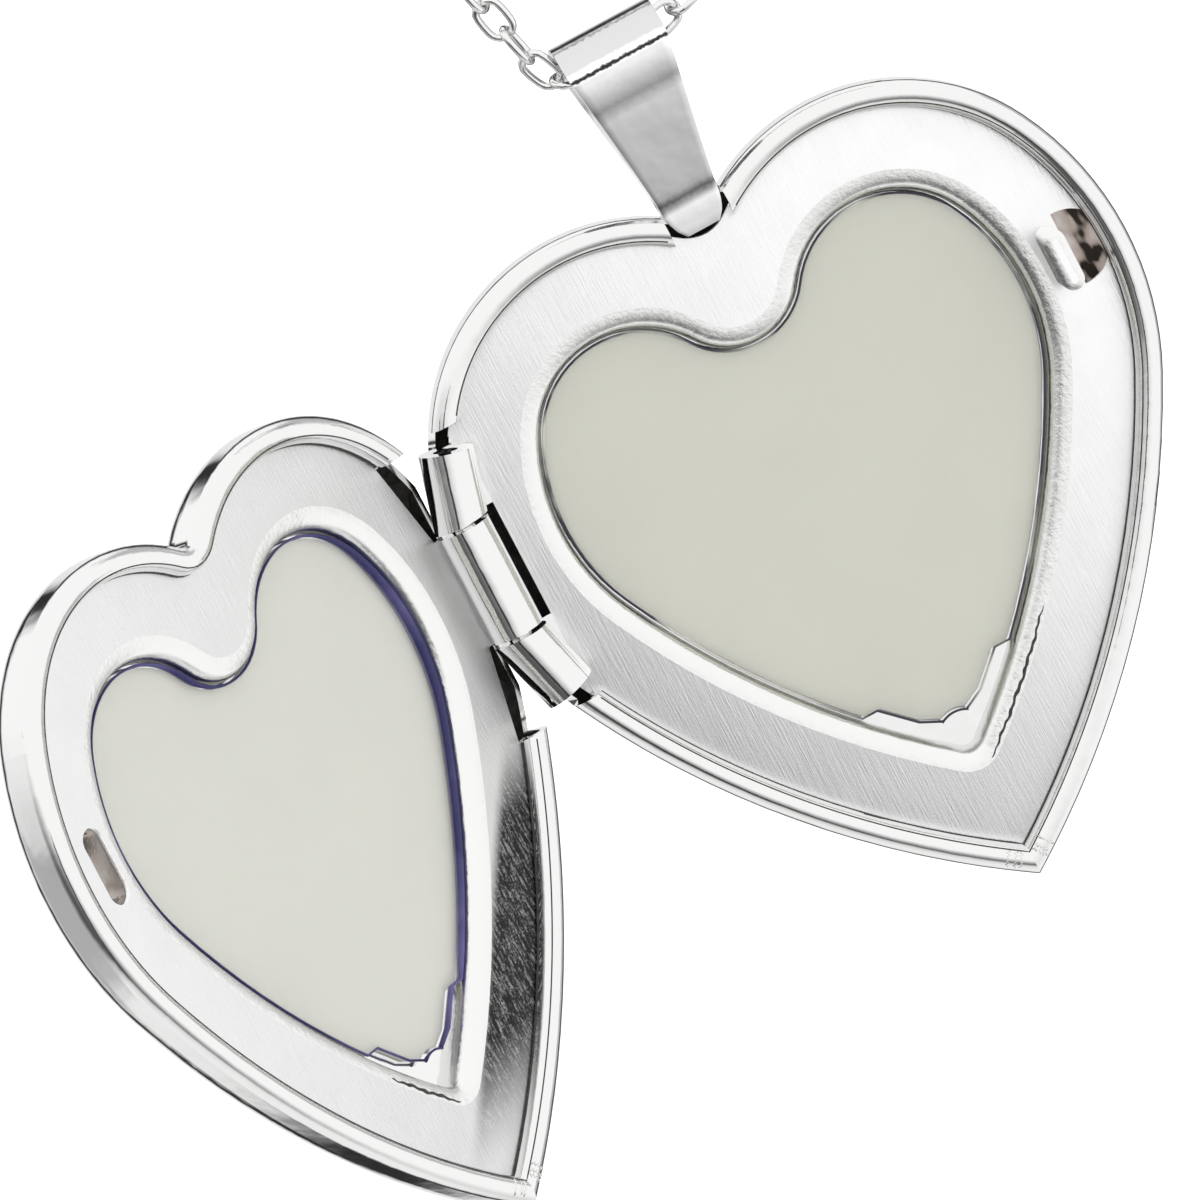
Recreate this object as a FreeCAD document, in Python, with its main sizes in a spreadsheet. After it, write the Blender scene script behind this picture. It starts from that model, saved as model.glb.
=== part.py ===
"""Heart picture locket that hangs open on its chain.

The back half stands upright in the XZ plane and faces -Y.  While it is drawn, the closing plane is
y = 0, the lobe centres lie on z = 0, and the hinge axis is parallel to Z.  The cover is drawn shut,
at y < 0, and its pieces are then turned open about the hinge axis.  At the end every piece moves by
HOME, which brings the middle of the bail's eye, where the chain runs through, to the origin.
"""
import FreeCAD, Part
import os
import Sketcher
from math import atan2, cos, pi, radians, sin, sqrt, tan

App = FreeCAD
V = App.Vector
doc = App.newDocument("heart_locket")

# ---------------------------------------------------------------- driving dimensions, mm and degrees
SIZES = [
    # outline of the inner frame, half a heart: lobe arc, flank arc and skirt arc, tangent in turn
    ("lobe_offset", 5.05), ("lobe_radius", 6.56), ("flank_radius", 10.32), ("skirt_radius", 33.44),
    ("lobe_turn", 28.1), ("flank_turn", -26.2), ("cleft_round", 1.7), ("window_cleft", 2.5),
    # shells
    ("rim_width", 0.95), ("bead_radius", 0.48), ("metal", 0.25), ("dome_start", 1.15),
    ("dome_depth", 3.05), ("dome_run", 5.2), ("face_gap", 0.03), ("hinge_flat", 12.3),
    ("rim_gap_half", 5.4), ("rim_gap_depth", 1.2), ("cleft_gap_half", 1.16), ("cleft_gap_depth", 1.05),
    # inner frames
    ("frame_level", 0.69), ("rim_seat", 0.3), ("land_width", 2.19), ("bevel_radius", 0.8),
    ("flange_inset", 1.95), ("flange_depth", 1.16), ("ledge_width", 1.4), ("window_tip", 0.42),
    # cards and lenses
    ("lens_gap", 0.06), ("card_gap", 0.16), ("cut_step", 0.42), ("cut_level", -12.6),
    ("lens_thickness", 0.17), ("lens_air", 0.03), ("card_thickness", 0.14), ("pry_radius", 0.95),
    ("pry_drop", 0.15), ("strip_width", 3.0), ("strip_drop", 2.0), ("strip_low_half", 0.8),
    ("strip_tip_half", 0.5), ("strip_tip_rise", 0.7),
    # hinge
    ("hinge_offset", 12.2), ("hinge_level", -1.77), ("knuckle_radius", 0.98), ("mid_length", 4.14),
    ("side_length", 2.65), ("side_spare", 0.3), ("knuckle_gap", 0.15), ("side_tilt", 15.0), ("pin_radius", 0.42),
    ("pin_play", 0.05), ("pin_fit", 0.02), ("hinge_air", 0.14), ("notch_air", 0.4),
    ("open_angle", 137.8), ("leaf_near", 0.4), ("leaf_far", 0.9), ("leaf_reach", 1.4), ("pin_short", 0.35),
    # catch
    ("catch_offset", 10.45), ("catch_level", -1.4), ("tongue_length", 2.3), ("tongue_width", 0.8),
    ("tongue_height", 1.66), ("hole_radius", 1.38), ("hole_offset", 11.0), ("slot_air", 0.14),
    ("slot_spare", 0.3), ("slot_lip", 0.3), ("lip_width", 0.2), ("tongue_round", 0.28),
    # bail
    ("bail_base", 6.85), ("bail_bend", 10.4), ("fold_level", 12.15), ("fold_centre", 0.35),
    ("fold_radius", 1.35), ("strap", 0.3), ("bail_top_half", 1.92), ("bail_low_half", 1.1),
    ("tang_foot", 5.36), ("bend_round", 0.8), ("bail_lean", 0.24), ("tang_front", 0.22),
    ("eye_foot", 0.56), ("eye_rise", 0.42), ("rear_drop", 2.6), ("rear_foot_drop", 0.5),
    # chain and clasp
    ("chain_diameter", 1.1), ("chain_level", 12.6), ("hang_angle", 27.6), ("clasp_height", 18.3),
    ("clasp_radius", 2.2), ("clasp_tube", 0.45), ("clasp_bore", 0.3), ("trigger_wire", 0.24),
    ("clasp_sweep", 300.0), ("trigger_start", 275.0), ("trigger_sweep", 82.0), ("trigger_travel", 45.0),
    ("jump_radius", 1.25), ("jump_wire", 0.22), ("ring_air", 0.04), ("bore_sweep", 105.0),
    ("groove_width", 0.4), ("groove_spare", 14.0), ("groove_lead", 2.0), ("knob_radius", 0.13),
    ("knob_length", 1.0), ("knob_turn", 6.0),
]

sheet = doc.addObject("Spreadsheet::Sheet", "Sizes")
for row, (alias, value) in enumerate(SIZES, start=1):
    sheet.set(f"A{row}", alias)
    sheet.set(f"B{row}", str(value))
    sheet.setAlias(f"B{row}", alias)
doc.recompute()


def size(name):
    return float(sheet.get(name))


X_AXIS = V(1, 0, 0)
Y_AXIS = V(0, 1, 0)
Z_AXIS = V(0, 0, 1)
FAR = 40.0
WINDOW = ("land_width", "bevel_radius")
HINGE = V(-size("hinge_offset"), 0, size("hinge_level"))
OPEN_TURN = App.Placement(V(), App.Rotation(Z_AXIS, -size("open_angle")), V(HINGE.x, 0, 0))
HOME = App.Placement(V(0, -size("fold_centre"), -size("chain_level")), App.Rotation())


def total(names):
    """Sum of named sizes; a name after a minus sign is taken away."""
    return sum(-size(name[1:]) if name.startswith("-") else size(name) for name in names)


def formula(names):
    """The same sum as a spreadsheet expression."""
    text = " + ".join(f"Sizes.{name}" for name in names)
    return text.replace("+ Sizes.-", "- Sizes.").replace("Sizes.-", "-Sizes.")


# ---------------------------------------------------------------- heart outline
def cleft_arc(inset, tip):
    """Centre height and radius of the round in the cleft; hearts with a round tip are windows."""
    if tip:
        radius = size("window_cleft") + inset - total(WINDOW)
    else:
        radius = size("cleft_round") + inset
    return sqrt((size("lobe_radius") - inset + radius) ** 2 - size("lobe_offset") ** 2), radius


def heart_arcs(inset, tip=0.0):
    """Right half of the heart, from tip to cleft, as (centre x, centre z, radius, start, end)."""
    lobe_turn = radians(size("lobe_turn"))
    flank_turn = radians(size("flank_turn"))
    lobe_x = size("lobe_offset")
    step = size("lobe_radius") - size("flank_radius")
    flank = (lobe_x + step * cos(lobe_turn), step * sin(lobe_turn))
    step = size("flank_radius") - size("skirt_radius")
    skirt = (flank[0] + step * cos(flank_turn), flank[1] + step * sin(flank_turn))
    skirt_radius = size("skirt_radius") - inset
    point = atan2(-sqrt(skirt_radius ** 2 - skirt[0] ** 2), -skirt[0])
    cleft = cleft_arc(inset, tip)[0]
    return [
        (*skirt, skirt_radius, point, flank_turn),
        (*flank, size("flank_radius") - inset, flank_turn, lobe_turn),
        (lobe_x, 0.0, size("lobe_radius") - inset, lobe_turn, atan2(cleft, -lobe_x)),
    ]


def tip_round(inset, radius):
    """Centre height of the round at the tip, and the angle where it leaves the skirt."""
    x, z, skirt_radius = heart_arcs(inset)[0][:3]
    height = z - sqrt((skirt_radius - radius) ** 2 - x ** 2)
    return height, atan2(height - z, -x)


def arc(x, z, radius, start, end):
    return Part.ArcOfCircle(Part.Circle(V(x, z, 0), Z_AXIS, radius), start, end)


def heart_loop(inset, tip=0.0):
    """Arcs of the whole heart in the sketch plane: right half, cleft, left half, round tip."""
    right = heart_arcs(inset, tip)
    centre, radius = cleft_arc(inset, tip)
    low = atan2(centre, size("lobe_offset"))
    cleft = arc(0, centre, radius, pi + low, 2 * pi - low)
    height, turn = tip_round(inset, tip)
    if tip:
        right[0] = (*right[0][:3], turn, right[0][4])
    left = [(-x, z, radius, pi - end, pi - start) for x, z, radius, start, end in reversed(right)]
    loop = [arc(*item) for item in right] + [cleft] + [arc(*item) for item in left]
    if tip:
        loop.append(arc(0, height, tip, pi - turn, 2 * pi + turn))
    return loop


# ---------------------------------------------------------------- PartDesign helpers
def new_body(label):
    body = doc.addObject("PartDesign::Body", label)
    body.Label = label
    return body


def new_sketch(body, name, role, offset=None):
    sketch = body.newObject("Sketcher::SketchObject", name)
    base = next(item for item in body.Origin.OriginFeatures if item.Role == role)
    sketch.AttachmentSupport = (base, "")
    sketch.MapMode = "FlatFace"
    sketch.AttachmentOffset = offset or App.Placement()
    return sketch


def front_sketch(body, name, level):
    """Sketch parallel to XZ at a depth y; its normal points along -Y."""
    return new_sketch(body, name, "XZ_Plane", App.Placement(V(0, 0, -level), App.Rotation()))


def add_heart(sketch, inset, tip=0.0):
    """Heart inset by a sum of sizes, its arcs joined and their radii bound to the sheet."""
    value = total(inset)
    first = sketch.GeometryCount
    sketch.addGeometry(heart_loop(value, tip), False)
    start, end = 1, 2
    joins = [(0, end, 1, start), (1, end, 2, start), (2, end, 3, end), (3, start, 4, start),
             (4, end, 5, start), (5, end, 6, start)]
    if tip:
        joins += [(6, end, 7, start), (7, end, 0, start)]
    for one, one_end, two, two_end in joins:
        sketch.addConstraint(Sketcher.Constraint("Tangent", first + one, one_end, first + two, two_end))
    if not tip:
        sketch.addConstraint(Sketcher.Constraint("Coincident", first + 6, end, first, start))
    for index, name in enumerate(["skirt_radius", "flank_radius", "lobe_radius"]):
        number = sketch.addConstraint(Sketcher.Constraint("Radius", first + index, size(name) - value))
        sketch.setExpression(f"Constraints[{number}]", f"Sizes.{name} - ({formula(inset)})")


def add_polygon(sketch, points):
    """Closed polygon through points of the sketch plane."""
    first = sketch.GeometryCount
    ends = points[1:] + points[:1]
    lines = [Part.LineSegment(V(*one, 0), V(*two, 0)) for one, two in zip(points, ends)]
    sketch.addGeometry(lines, False)
    for index in range(len(points)):
        following = (index + 1) % len(points)
        sketch.addConstraint(Sketcher.Constraint("Coincident", first + index, 2, first + following, 1))


def add_circle(sketch, centre, name, extra=()):
    """Circle whose radius is a sum of sizes."""
    number = sketch.addGeometry(Part.Circle(V(*centre, 0), Z_AXIS, total((name, *extra))), False)
    constraint = sketch.addConstraint(Sketcher.Constraint("Radius", number, total((name, *extra))))
    sketch.setExpression(f"Constraints[{constraint}]", formula((name, *extra)))


def set_length(feature, length):
    """Length as a sum of sizes, or a plain number for a cut right through."""
    if isinstance(length, tuple):
        feature.Length = total(length)
        feature.setExpression("Length", formula(length))
    else:
        feature.Length = length


def pad(body, sketch, name, length, against=True):
    """Pad against the sketch's normal, or along it."""
    feature = body.newObject("PartDesign::Pad", name)
    feature.Profile = sketch
    feature.Reversed = against
    set_length(feature, length)
    sketch.Visibility = False
    doc.recompute()
    return feature


def pocket(body, sketch, name, length, along=False):
    """Pocket against the sketch's normal, or along it; it has to take something away."""
    before = body.Shape.Volume
    feature = body.newObject("PartDesign::Pocket", name)
    feature.Profile = sketch
    feature.Reversed = along
    set_length(feature, length)
    sketch.Visibility = False
    doc.recompute()
    if body.Shape.Volume > before - 1e-6:
        raise ValueError(f"{body.Label}.{name} removes nothing")
    return feature


def fillet(body, name, radius, chosen):
    """Fillet, with a named radius, of the edges that a test picks."""
    base = body.Tip
    edges = [f"Edge{n}" for n, edge in enumerate(base.Shape.Edges, start=1) if chosen(edge)]
    feature = body.newObject("PartDesign::Fillet", name)
    feature.Base = (base, edges)
    feature.Radius = size(radius)
    feature.setExpression("Radius", f"Sizes.{radius}")
    doc.recompute()
    return feature


def lies_at(edge, axis, level):
    """True when the whole edge lies in the plane where one coordinate has a value."""
    box = edge.BoundBox
    low, high = (box.YMin, box.YMax) if axis == "y" else (box.ZMin, box.ZMax)
    return abs(low - level) < 1e-4 and abs(high - level) < 1e-4


# ---------------------------------------------------------------- shells
def spin(profile, centre_x, centre_z, radius, start, end, outward=1):
    """Turns a profile, drawn as offset d and depth y, about an arc's own axis."""
    edges = [edge.copy() for edge in profile]
    face = Part.Face(Part.Wire(Part.__sortEdges__(edges)))
    matrix = App.Matrix()
    matrix.A11 = outward
    face = face.transformGeometry(matrix) if outward < 0 else face
    face.translate(V(radius, 0, 0))
    face.rotate(V(), Y_AXIS, -start * 180 / pi)
    face.translate(V(centre_x, 0, centre_z))
    return face.revolve(V(centre_x, 0, centre_z), Y_AXIS, -(end - start) * 180 / pi)


def half_ring(profile):
    """The profile carried round the right half of the heart and cut off at x = 0."""
    pieces = []
    for index, (x, z, radius, start, end) in enumerate(heart_arcs(0.0)):
        if index == 0:
            start -= radians(9)
        pieces.append(spin(profile, x, z, radius, start, end))
    centre, radius = cleft_arc(0.0, 0.0)
    low = atan2(centre, size("lobe_offset"))
    cleft = spin(profile, 0, centre, radius, 1.5 * pi, 2 * pi - low, outward=-1)
    ring = pieces[0].fuse(pieces[1:] + [cleft])
    return ring.common(Part.makeBox(FAR, FAR, 2 * FAR, V(0, -FAR / 2, -FAR)))


def whole_ring(profile):
    right = half_ring(profile)
    return right.fuse(right.mirror(V(), X_AXIS))


def curve(*poles):
    bezier = Part.BezierCurve()
    bezier.setPoles([V(*pole, 0) for pole in poles])
    return bezier.toShape()


def line(one, two):
    return Part.makeLine(V(*one, 0), V(*two, 0))


def bow(one, middle, two):
    return Part.Arc(V(*one, 0), V(*middle, 0), V(*two, 0)).toShape()


def dome_edge(offset):
    """Dome from the wall to the flat of the back, at a distance inside the outer skin."""
    wall = size("rim_width") - offset
    start = size("dome_start")
    depth = size("dome_depth") - offset
    run = size("dome_run")
    swell = start + 0.75 * (depth - start)
    return curve((wall, start), (wall, swell), (wall - 0.45 * run, depth), (-run, depth))


def shell_profile():
    """Wall with its edge rolled over into a bead, and the dome behind it."""
    metal = size("metal")
    bead = size("bead_radius")
    wall = size("rim_width")
    top = size("face_gap")
    middle = (wall - bead, top + bead)
    inner = bead - metal
    drop = size("frame_level") - middle[1]
    outer_end = (middle[0] - sqrt(bead ** 2 - drop ** 2), size("frame_level"))
    inner_end = (middle[0] - sqrt(inner ** 2 - drop ** 2), size("frame_level"))
    return [
        bow((wall, middle[1]), (middle[0], top), outer_end),
        line(outer_end, inner_end),
        bow(inner_end, (middle[0], top + metal), (wall - metal, middle[1])),
        line((wall - metal, middle[1]), (wall - metal, size("dome_start"))),
        dome_edge(metal),
        line((-size("dome_run"), size("dome_depth") - metal), (-size("dome_run"), size("dome_depth"))),
        dome_edge(0.0),
        line((wall, size("dome_start")), (wall, middle[1])),
    ]


def solid_profile():
    """The dome filled up to its top, from which the flat by the hinge is cut."""
    run = size("dome_run")
    start = size("dome_start")
    return [
        line((-run, start), (size("rim_width"), start)),
        dome_edge(0.0),
        line((-run, size("dome_depth")), (-run, start)),
    ]


def flat_back():
    """Flat middle of the back."""
    edges = [item.toShape() for item in heart_loop(size("dome_run"))]
    face = Part.Face(Part.Wire(Part.__sortEdges__(edges)))
    plate = face.extrude(V(0, 0, size("metal")))
    plate.rotate(V(), X_AXIS, 90)
    plate.translate(V(0, size("dome_depth"), 0))
    return plate


def box(low, high):
    return Part.makeBox(high.x - low.x, high.y - low.y, high.z - low.z, low)


def shell_shape(with_bail_gap):
    metal = size("metal")
    flat = -size("hinge_flat")
    level = size("hinge_level")
    gap = size("rim_gap_half")
    depth = size("rim_gap_depth")
    shell = whole_ring(shell_profile()).fuse(flat_back())
    shell = shell.cut(box(V(-FAR, -FAR, -FAR), V(flat, FAR, FAR)))
    patch = whole_ring(solid_profile()).common(box(V(flat, depth, -FAR), V(flat + metal, FAR, FAR)))
    shell = shell.cut(box(V(-FAR, -FAR, level - gap), V(-size("lobe_offset"), depth, level + gap)))
    shell = shell.fuse(patch)
    if with_bail_gap:
        half = size("cleft_gap_half")
        shell = shell.cut(box(V(-half, -FAR, 0), V(half, size("cleft_gap_depth"), FAR)))
    return shell.removeSplitter()


def make_shell(label, is_cover):
    """Pressed shell; the cover's is the mirror image, turned open, with no gap for the bail."""
    feature = doc.addObject("Part::Feature", label)
    feature.Label = label
    shape = shell_shape(with_bail_gap=not is_cover)
    if is_cover:
        shape = shape.mirror(V(), Y_AXIS)
    feature.Shape = shape.Solids[0] if len(shape.Solids) == 1 else shape
    if is_cover:
        feature.Placement = OPEN_TURN
    return feature


# ---------------------------------------------------------------- inner frames
def side(is_cover):
    """+1 for the back half at y > 0, -1 for the cover at y < 0."""
    return -1 if is_cover else 1


def slab(body, is_cover, name, depth, outlines, thickness, cut=False):
    """Pad or pocket from a depth behind the closing plane, away from that plane."""
    sketch = front_sketch(body, name + "_sketch", side(is_cover) * depth)
    for draw in outlines:
        draw(sketch)
    if cut:
        return pocket(body, sketch, name, thickness, along=is_cover)
    return pad(body, sketch, name, thickness, against=not is_cover)


def heart(inset, tip=0.0):
    return lambda sketch: add_heart(sketch, inset, tip)


def polygon(points):
    return lambda sketch: add_polygon(sketch, points)


def frame_base(label, is_cover):
    """Flat land, deep flange with a rounded front edge, and the ledge that carries the card."""
    body = new_body(label)
    level = size("frame_level")
    tip = size("window_tip")
    slab(body, is_cover, "land", level, [heart(("-rim_seat",)), heart(WINDOW, tip)], ("metal",))
    slab(body, is_cover, "flange", level, [heart(("flange_inset",)), heart(WINDOW, tip)],
         ("flange_depth",))
    ledge_level = level + size("flange_depth") - size("metal")
    slab(body, is_cover, "ledge", ledge_level,
         [heart(("flange_inset",)), heart((*WINDOW, "ledge_width"), tip)], ("metal",))
    front = side(is_cover) * level
    reach = heart_arcs(total(WINDOW))[1]
    inside = reach[0] + reach[2] + 0.05
    fillet(body, "bevel", "bevel_radius",
           lambda edge: lies_at(edge, "y", front) and abs(edge.BoundBox.Center.x) < inside
           and max(abs(edge.BoundBox.XMin), abs(edge.BoundBox.XMax)) < inside
           and edge.BoundBox.ZMax < size("lobe_radius") - total(WINDOW) + 0.05
           and edge.BoundBox.ZMin > tip_round(total(WINDOW), tip)[0] - tip - 0.05)
    return body


def side_axis(sign):
    """Inner end of a side knuckle's axis, and its direction in XZ."""
    reach = size("mid_length") / 2 + size("knuckle_gap") / 2
    tilt = radians(size("side_tilt"))
    return (HINGE.x, HINGE.z + sign * reach), (sin(tilt), sign * cos(tilt))


def knuckle(body, name, foot, tilt, length):
    """Hollow barrel: foot is the centre of its lower end, tilt leans it towards +X."""
    turn = App.Rotation(Y_AXIS, tilt)
    for part, radius in (("barrel", "knuckle_radius"), ("bore", "pin_radius")):
        play = ("pin_play",) if tilt == 0 else ("pin_fit",)
        start = foot if part == "barrel" else foot - turn.multVec(Z_AXIS)
        sketch = new_sketch(body, f"{name}_{part}_sketch", "XY_Plane", App.Placement(start, turn))
        add_circle(sketch, (0, 0), radius, () if part == "barrel" else play)
        if part == "barrel":
            pad(body, sketch, f"{name}_{part}", length, against=False)
        else:
            pocket(body, sketch, f"{name}_{part}", total(length) + 2.0, along=True)


def make_back_frame():
    """Frame of the back half, with two side knuckles, the catch tongue and its cut-out."""
    body = frame_base("back_frame", False)
    level = size("frame_level")
    edge = HINGE.x + size("knuckle_radius") + size("notch_air")
    spare = size("side_spare")
    for name, sign in (("upper", 1), ("lower", -1)):
        foot, run = side_axis(sign)
        near = (foot[0] - run[0] * spare, foot[1] - run[1] * spare)
        far = (foot[0] + run[0] * size("side_length"), foot[1] + run[1] * size("side_length"))
        slab(body, False, f"{name}_leaf", level,
             [polygon([near, (edge + size("leaf_near"), near[1]),
                       (edge + size("leaf_far"), far[1]), far])], ("metal",))
        low = near if sign > 0 else far
        turn = sign * size("side_tilt")
        knuckle(body, name, V(low[0], 0, low[1]), turn, ("side_length", "side_spare"))
    half = size("mid_length") / 2 + size("knuckle_gap")
    slab(body, False, "hinge_notch", -size("knuckle_radius") - 0.5,
         [polygon([(-FAR, HINGE.z - half), (edge, HINGE.z - half),
                   (edge, HINGE.z + half), (-FAR, HINGE.z + half)])], 3.0, cut=True)
    add_tongue(body)
    return body


def trim_edge(body):
    """Cuts the cover's land back beside the hinge, along lines that clear the side knuckles."""
    level = size("frame_level")
    tilt = radians(size("side_tilt"))
    reach = size("knuckle_radius") + size("hinge_air")
    chord = HINGE.x + sqrt(reach ** 2 - level ** 2) / cos(tilt)
    start = size("mid_length") / 2
    end = size("rim_gap_half")
    far = chord + (end - start) * tan(tilt)
    for name, sign in (("upper", 1), ("lower", -1)):
        low = HINGE.z + sign * start
        high = HINGE.z + sign * end
        slab(body, True, f"{name}_edge", level - 1,
             [polygon([(-FAR, low), (chord, low), (far, high), (-FAR, high)])], 4.0, cut=True)


def capsule(sketch, centre, width, length):
    """Slot outline with round ends, its long way along Z."""
    radius = width / 2
    high = centre[1] + length / 2 - radius
    low = centre[1] - length / 2 + radius
    x = centre[0]
    sketch.addGeometry([arc(x, high, radius, 0, pi), arc(x, low, radius, pi, 2 * pi),
                        Part.LineSegment(V(x - radius, high, 0), V(x - radius, low, 0)),
                        Part.LineSegment(V(x + radius, low, 0), V(x + radius, high, 0))], False)
    first = sketch.GeometryCount - 4
    for one, one_end, two, two_end in ((0, 2, 2, 1), (2, 2, 1, 1), (1, 2, 3, 1), (3, 2, 0, 1)):
        sketch.addConstraint(Sketcher.Constraint("Tangent", first + one, one_end, first + two, two_end))


def add_tongue(body):
    """Round cut-out at the frame's edge, and the hooked tongue that stands beside it."""
    level = size("frame_level")
    chord = size("catch_offset") + size("tongue_width") / 2 + 0.05
    middle = (size("hole_offset"), size("catch_level"))
    turn = atan2(sqrt(size("hole_radius") ** 2 - (middle[0] - chord) ** 2), chord - middle[0])

    def segment(sketch):
        round_side = arc(*middle, size("hole_radius"), -turn, turn)
        sketch.addGeometry([round_side, Part.LineSegment(round_side.EndPoint, round_side.StartPoint)])
        sketch.addConstraint(Sketcher.Constraint("Coincident", 0, 2, 1, 1))
        sketch.addConstraint(Sketcher.Constraint("Coincident", 1, 2, 0, 1))

    slab(body, False, "catch_hole", level - 0.5, [segment], 1.0, cut=True)
    centre = (size("catch_offset"), size("catch_level"))
    sketch = front_sketch(body, "tongue_sketch", level + size("metal"))
    capsule(sketch, centre, size("tongue_width"), size("tongue_length"))
    pad(body, sketch, "tongue", ("tongue_height", "metal"), against=False)
    top = level - size("tongue_height")
    fillet(body, "tongue_round", "tongue_round", lambda edge: lies_at(edge, "y", top))


def make_front_frame():
    """Frame of the cover, with the middle knuckle and the slot for the tongue."""
    body = frame_base("front_frame", True)
    level = size("frame_level")
    trim_edge(body)
    half = size("mid_length") / 2
    reach = HINGE.x + size("leaf_reach")
    slab(body, True, "middle_leaf", level,
         [polygon([(HINGE.x, HINGE.z - half), (reach, HINGE.z - half),
                   (reach, HINGE.z + half), (HINGE.x, HINGE.z + half)])], ("metal",))
    knuckle(body, "middle", HINGE - Z_AXIS * half, 0, ("mid_length",))
    centre = (size("catch_offset"), size("catch_level"))
    width = size("tongue_width") + 2 * size("slot_air")
    length = size("tongue_length") + 2 * size("slot_spare")
    lip = 2 * size("lip_width")
    slab(body, True, "slot_lip", level,
         [lambda sketch: capsule(sketch, centre, width + lip, length + lip)], ("metal", "slot_lip"))
    slab(body, True, "slot", level - 0.5,
         [lambda sketch: capsule(sketch, centre, width, length)], 2.0, cut=True)
    body.Placement = OPEN_TURN
    return body


# ---------------------------------------------------------------- cards and lenses
def make_insert(label, is_cover, gap, depth, thickness):
    """Heart sheet that fills the window, cut back along the lower skirts and pried at the tip."""
    body = new_body(label)
    tip = size("window_tip")
    slab(body, is_cover, "core", depth, [heart((*WINDOW, gap, "cut_step"), tip)], (thickness,))
    slab(body, is_cover, "wide", depth, [heart((*WINDOW, gap), tip)], (thickness,))
    cut = size("cut_level")
    inner = total((*WINDOW, gap, "cut_step"))
    x, z, radius = heart_arcs(inner)[0][:3]
    tip_z = z - sqrt(radius ** 2 - x ** 2)

    width = size("strip_width")
    drop = size("strip_drop")

    def skirt_strips(sketch):
        for sign in (1, -1):
            top = x + sqrt(radius ** 2 - (cut - z) ** 2)
            middle_z = (cut + tip_z) / 2
            middle = x + sqrt(radius ** 2 - (middle_z - z) ** 2)
            add_polygon(sketch, [(sign * top, cut), (sign * (top + width), cut),
                                 (sign * (middle + width), middle_z - drop),
                                 (sign * size("strip_low_half"), tip_z - drop),
                                 (sign * size("strip_tip_half"), tip_z + size("strip_tip_rise")),
                                 (sign * middle, middle_z)])

    slab(body, is_cover, "skirt_cuts", depth - 0.5, [skirt_strips], 2.0, cut=True)
    slab(body, is_cover, "pry_notch", depth - 0.5,
         [lambda sketch: add_circle(sketch, (0, tip_z - size("pry_drop")), "pry_radius")], 2.0, cut=True)
    if is_cover:
        body.Placement = OPEN_TURN
    return body


def make_inserts():
    card = size("frame_level") + size("flange_depth") - size("metal") - size("card_thickness")
    lens = card - size("lens_air") - size("lens_thickness")
    inserts = []
    for name, is_cover in (("back", False), ("front", True)):
        inserts.append(make_insert(f"{name}_card", is_cover, "card_gap", card, "card_thickness"))
        inserts.append(make_insert(f"{name}_lens", is_cover, "lens_gap", lens, "lens_thickness"))
    return inserts


# ---------------------------------------------------------------- hinge pin
def make_pin():
    """Wire pin: straight in the middle knuckle, its ends bent along the side knuckles."""
    body = new_body("hinge_pin")
    half = size("mid_length") / 2 + size("knuckle_gap") / 2
    foot = HINGE - Z_AXIS * half
    sketch = new_sketch(body, "middle_sketch", "XY_Plane", App.Placement(foot, App.Rotation()))
    add_circle(sketch, (0, 0), "pin_radius")
    pad(body, sketch, "middle", ("mid_length", "knuckle_gap"), against=False)
    for name, sign in (("upper", 1), ("lower", -1)):
        start, run = side_axis(sign)
        length = size("side_length") - size("pin_short")
        turn = App.Rotation(Y_AXIS, sign * size("side_tilt"))
        low = start if sign > 0 else (start[0] + run[0] * length, start[1] + run[1] * length)
        sketch = new_sketch(body, f"{name}_sketch", "XY_Plane",
                            App.Placement(V(low[0], 0, low[1]), turn))
        add_circle(sketch, (0, 0), "pin_radius")
        pad(body, sketch, name, length, against=False)
        elbow = body.newObject("PartDesign::AdditiveSphere", f"{name}_elbow")
        elbow.Radius = size("pin_radius")
        elbow.setExpression("Radius", "Sizes.pin_radius")
        elbow.Placement = App.Placement(V(start[0], 0, start[1]), App.Rotation())
        doc.recompute()
    return body


# ---------------------------------------------------------------- bail
def bail_profile(sketch, offset):
    """Side view of the folded strap in (y, z), at a distance inside its outer face."""
    fold = size("fold_radius") - offset
    y = size("fold_centre")
    top = size("fold_level")
    bend = size("bail_bend")
    base = size("bail_base")
    front = y - fold
    rear = y + fold
    lean = size("bail_lean")
    drop = size("rear_drop")
    if offset:
        points = [(front, top), (front + lean, bend), (size("eye_foot"), base + size("eye_rise")),
                  (rear, top - drop), (rear, top)]
    else:
        tang = size("tang_foot")
        back = size("cleft_gap_depth")
        face = size("tang_front")
        points = [(front, top), (front + lean, bend), (face, base), (face, tang), (back, tang),
                  (back, base - size("rear_foot_drop")), (rear, top - drop), (rear, top)]
    lines = [Part.LineSegment(V(*one, 0), V(*two, 0)) for one, two in zip(points, points[1:])]
    first = sketch.GeometryCount
    sketch.addGeometry(lines + [arc(y, top, fold, 0, pi)], False)
    for index in range(len(lines) - 1):
        sketch.addConstraint(Sketcher.Constraint("Coincident", first + index, 2, first + index + 1, 1))
    last = first + len(lines)
    sketch.addConstraint(Sketcher.Constraint("Coincident", last - 1, 2, last, 1))
    sketch.addConstraint(Sketcher.Constraint("Coincident", last, 2, first, 1))


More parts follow.
